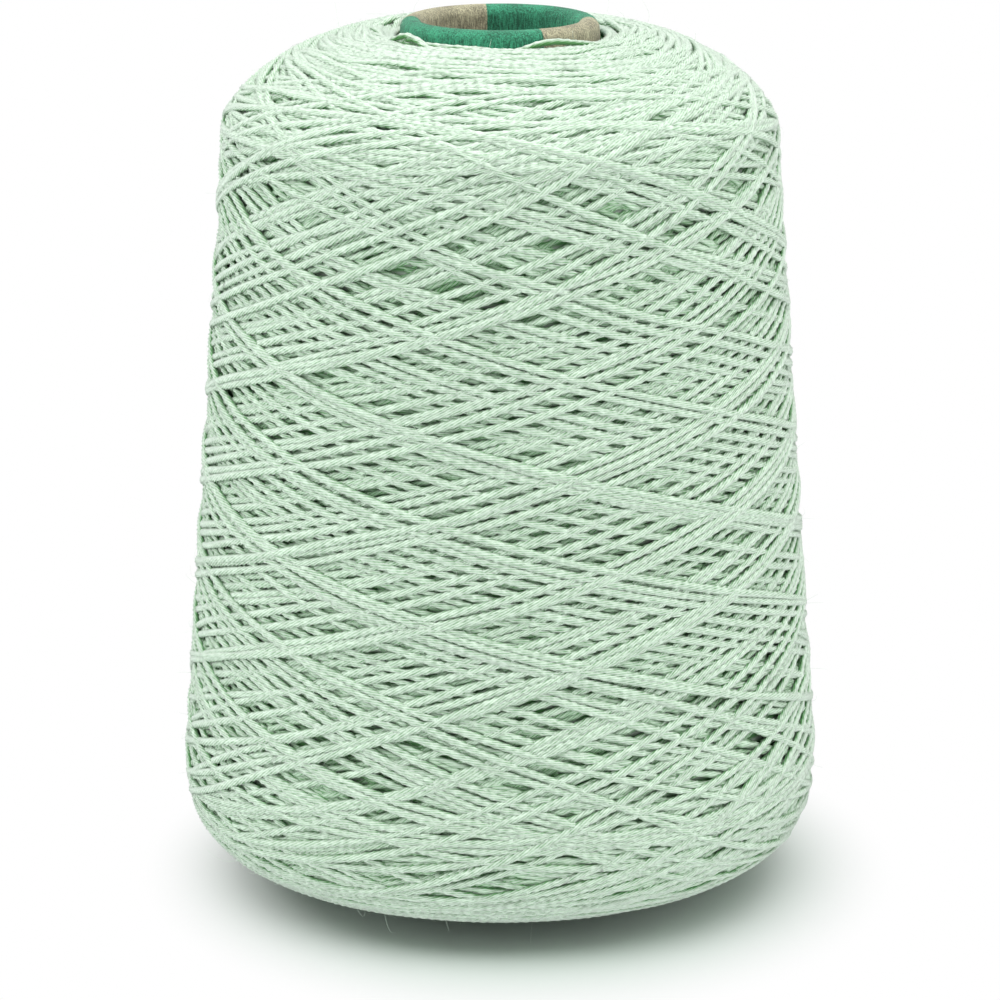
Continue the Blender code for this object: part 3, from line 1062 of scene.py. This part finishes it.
def loose_fibre(colours):
    """Single cotton fibres: thin and pale, with a soft shine."""
    material, tree = new_material("Cotton fibre, loose")
    place = node(tree, "TexCoord").outputs["Object"]
    change = node(tree, "TexNoise", {"Vector": place, "Scale": 1.0 / (3.0 * MM)})
    colour_pair = {FACTOR: change, FIRST: rgba(colours.yarn, 0.85), SECOND: rgba(colours.yarn, 1.12)}
    dyed = node(tree, "Mix", colour_pair, data_type="RGBA")
    surface = {"Base Color": dyed, "Roughness": 0.6, "Sheen Weight": 0.3, "Sheen Roughness": 0.4}
    node(tree, "OutputMaterial", [node(tree, "BsdfPrincipled", surface)])
    return material


# ------------ Stage ------------

CAMERA_PLACE = (0.0, -0.8236, 0.2953)
CAMERA_AIM = (0.0, 0.0, 0.0749)
CAMERA_LENS, CAMERA_SENSOR = 156.84, 36.0  # millimetres
FLOOR_HALF = 4.0
PAINTED_SHADOW_REACH = (0.05, 0.088)  # reach of the painted shadow: from the axis to where it starts to fade and is gone
# the painted shadow's middle, moved a little to one side of the axis
PAINTED_SHADOW_SHIFT = (-0.004, 0.0, 0.0)
PAINTED_SHADOW_SCALE = (1.16, 1.0, 1.0)  # the painted shadow is narrower across than from front to back
PAINTED_SHADOW_PAPER = (0.45, 0.51, 0.47, 1.0)  # painted shadow: the paper's darker colour near the object, as a camera sees it
PAPER_GRAIN = 900.0  # per metre
WHITE = (1.0, 1.0, 1.0, 1.0)

# name, place, height of the point it faces on the axis, size in metres, watts
LAMPS = (
    ("softbox_top", (0.0, -0.2, 1.5), 0.08, 2.0, 38.0),
    ("softbox_left", (-1.3, -0.3, 0.75), 0.08, 1.0, 9.6),
    ("softbox_right", (1.3, -0.3, 0.75), 0.08, 1.0, 9.6),
    ("softbox_front_low", (0.0, -1.5, 0.12), 0.03, 0.7, 5.0),
)
WORLD_LEVEL = 0.285


def set_up(thing, place, target):
    """Puts a camera or a lamp in the scene at a place, facing a point."""
    thing.location = place
    thing.rotation_mode = "QUATERNION"
    thing.rotation_quaternion = (Vector(target) - thing.location).to_track_quat("-Z", "Y")
    bpy.context.scene.collection.objects.link(thing)


def seen_directly(tree):
    """1 where the camera sees a thing itself, in a reflection or through glass, and 0 elsewhere."""
    rays = node(tree, "LightPath").outputs
    seen = node(tree, "Math", (rays["Is Camera Ray"], rays["Is Glossy Ray"]), operation="MAXIMUM")
    return node(tree, "Math", (seen, rays["Is Transmission Ray"]), operation="MAXIMUM")


def floor_material():
    """Seamless white paper, matt and even, with a soft shadow that is partly painted here.

    Where a camera sees it, the paper has a painted shadow: it is darker near the object, which
    deepens the lamps' shadow, and fades away from the object to the white of the surroundings.
    """
    material, tree = new_material("Seamless backdrop paper")
    place = node(tree, "TexCoord").outputs["Object"]
    grain = node(tree, "TexNoise", {"Vector": place, "Scale": PAPER_GRAIN, "Detail": 2.0})
    whites = {FACTOR: grain, FIRST: (0.93, 0.94, 0.95, 1.0), SECOND: (0.97, 0.98, 0.99, 1.0)}
    white = node(tree, "Mix", whites, data_type="RGBA")
    # mask of the painted shadow: 0 near the object, rising to 1 where the paper is plain white
    spread = node(tree, "Mapping", {"Vector": place, "Location": PAINTED_SHADOW_SHIFT, "Scale": PAINTED_SHADOW_SCALE})
    away = node(tree, "VectorMath", [spread], operation="LENGTH")
    away = node(tree, "MapRange", (away, *PAINTED_SHADOW_REACH), interpolation_type="SMOOTHSTEP")
    seen = seen_directly(tree)
    share = node(tree, "Math", (away, seen), operation="MULTIPLY")
    # painted shadow: where a camera sees it, the paper takes the darker shaded colour
    white = node(tree, "Mix", {FACTOR: seen, FIRST: white, SECOND: PAINTED_SHADOW_PAPER}, data_type="RGBA")
    face = node(tree, "BsdfDiffuse", {"Color": white, "Roughness": 0.5})
    glow = node(tree, "Emission", {"Color": WHITE, "Strength": 1.0})
    node(tree, "OutputMaterial", [node(tree, "MixShader", (share, face, glow))])
    return material


def white_world(world):
    """Light from all round at a plain level, white where the camera or a glossy surface sees it."""
    world.use_nodes = True
    tree = world.node_tree
    tree.nodes.clear()
    level = node(tree, "MapRange", (seen_directly(tree), 0.0, 1.0, WORLD_LEVEL, 1.0))
    node(tree, "OutputWorld", [node(tree, "Background", {"Color": WHITE, "Strength": level})])


# ------------ Operators ------------


class YARN_CONE_OT_paper_cone(bpy.types.Operator):
    """Make the folded wrap and give the board and the liner their papers"""

    bl_idname = "yarn_cone.paper_cone"
    bl_label = "Paper cone"

    def execute(self, context):
        scene = context.scene
        colours = scene.yarn_cone_colours
        wrap = wrap_mesh(scene.yarn_cone_cone)
        new_piece(wrap, printed_wrap(colours), ["cone_outer_wrap"])
        board = paper("Core board, recycled and laminated", colours.board, 0.5 * MM, 0.22, 0.9)
        liner = paper("Kraft liner paper, calendered", colours.liner, 0.35 * MM, 0.14, 0.72)
        for name, material in (("cone_board", board), ("cone_inner_liner", liner)):
            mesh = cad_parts[name].data
            mesh.materials.clear()
            mesh.materials.append(material)
        return {"FINISHED"}


class YARN_CONE_OT_wound_yarn(bpy.types.Operator):
    """Wind the strand on the cone and make what can be seen of it"""

    bl_idname = "yarn_cone.wound_yarn"
    bl_label = "Wound yarn"

    def execute(self, context):
        scene = context.scene
        cone, package, strand = scene.yarn_cone_cone, scene.yarn_cone_package, scene.yarn_cone_strand
        colours = scene.yarn_cone_colours
        outline = package_outline(cone, package)
        along, r, z = outline[:3]
        belly = int(np.argmax(r))
        side = np.flatnonzero((z > YARN_BOX[1][2] - package.crown_height) & (along > along[belly]))
        route = strand_route(strand, along[-1], (along[belly], along[side[0]]))
        place, height, ground = lay_strand(strand, route, (along, r))
        envelope = laid_depth(ground, len(along))
        raise_turns(place, height)
        frames = strand_frames(strand, outline, place, height, envelope)
        depth = np.maximum(np.interp(place, along, envelope) - height - 0.5 * strand.height, 0.0)
        starts, stops = seen_runs(strand, place, height, ground, frames[3], depth)
        edges = np.searchsorted(frames[3], np.column_stack([starts, stops]).ravel())
        lowest = np.minimum.reduceat(depth, np.minimum(edges, len(depth) - 1))[::2]
        material = cotton_yarn(strand, colours)
        made = 0
        kinds = ((False, RING_STEP, 2 * strand.plies), (True, LOW_RING_STEP, strand.plies))
        for low, step, sides in kinds:
            picked = (lowest > LOW) == low
            runs = split_runs(starts[picked], stops[picked], RUN_SHARE * PIECE_FACES / sides * step)
            faces = np.cumsum(((runs[:, 1] - runs[:, 0]) / step + 2.0) * sides)
            groups = (faces / PIECE_FACES).astype(int)
            for group in range(groups[-1] + 1):
                made += 1
                name = f"yarn_winding_{made}"
                mesh = strand_mesh(name, strand, frames, runs[groups == group], depth, low)
                new_piece(mesh, material, ["yarn_package"])
        core = core_mesh(outline, np.minimum(envelope, CORE_DEPTH), cone)
        new_piece(core, packed_yarn(strand, colours), ["yarn_package"])
        top = lowest <= LOW
        fibres = fibre_mesh(strand, frames, starts[top], stops[top])
        new_piece(fibres, loose_fibre(colours), ["yarn_package"])
        return {"FINISHED"}


class YARN_CONE_OT_stage(bpy.types.Operator):
    """Set the camera, the soft lamps, the white surroundings and the floor"""

    bl_idname = "yarn_cone.stage"
    bl_label = "Studio stage"

    def execute(self, context):
        scene = context.scene
        camera = bpy.data.objects.new("camera", bpy.data.cameras.new("camera"))
        camera.data.lens = CAMERA_LENS
        camera.data.sensor_width = CAMERA_SENSOR
        set_up(camera, CAMERA_PLACE, CAMERA_AIM)
        scene.camera = camera
        for name, place, aim_z, size, watts in LAMPS:
            lamp = bpy.data.objects.new(name, bpy.data.lights.new(name, "AREA"))
            lamp.data.shape = "SQUARE"
            lamp.data.size = size
            lamp.data.energy = watts
            set_up(lamp, place, (0.0, 0.0, aim_z))
        corners = FLOOR_HALF * np.array([(-1, -1, 0), (1, -1, 0), (1, 1, 0), (-1, 1, 0)], float)
        mesh = new_mesh("floor", corners, np.arange(4), np.array([4]))
        mesh.materials.append(floor_material())
        ground = bpy.data.objects.new("floor", mesh)
        scene.collection.objects.link(ground)
        scene.world = scene.world or bpy.data.worlds.new("world")
        white_world(scene.world)
        scene.view_settings.view_transform = "Standard"
        return {"FINISHED"}


class YARN_CONE_PT_panel(bpy.types.Panel):
    """The sizes, the colours and what can be made"""

    bl_idname = "YARN_CONE_PT_panel"
    bl_label = "Yarn cone"
    bl_space_type = "VIEW_3D"
    bl_region_type = "UI"
    bl_category = "Yarn cone"

    def draw(self, context):
        for group_name, group in GROUPS.items():
            box = self.layout.box()
            box.label(text=group.__doc__.splitlines()[0])
            values = getattr(context.scene, group_name)
            for key in group.__annotations__:
                box.prop(values, key)
        for operator in OPERATORS:
            self.layout.operator(operator.bl_idname)


OPERATORS = (YARN_CONE_OT_paper_cone, YARN_CONE_OT_wound_yarn, YARN_CONE_OT_stage)
CLASSES = (*GROUPS.values(), *OPERATORS, YARN_CONE_PT_panel)


def register():
    for part in CLASSES:
        bpy.utils.register_class(part)
    for group_name, group in GROUPS.items():
        setattr(bpy.types.Scene, group_name, PointerProperty(type=group))


def unregister():
    for group_name in GROUPS:
        delattr(bpy.types.Scene, group_name)
    for part in reversed(CLASSES):
        bpy.utils.unregister_class(part)


def main():
    register()
    bpy.ops.yarn_cone.paper_cone()
    bpy.ops.yarn_cone.wound_yarn()
    bpy.ops.yarn_cone.stage()


if __name__ == "__main__":
    main()
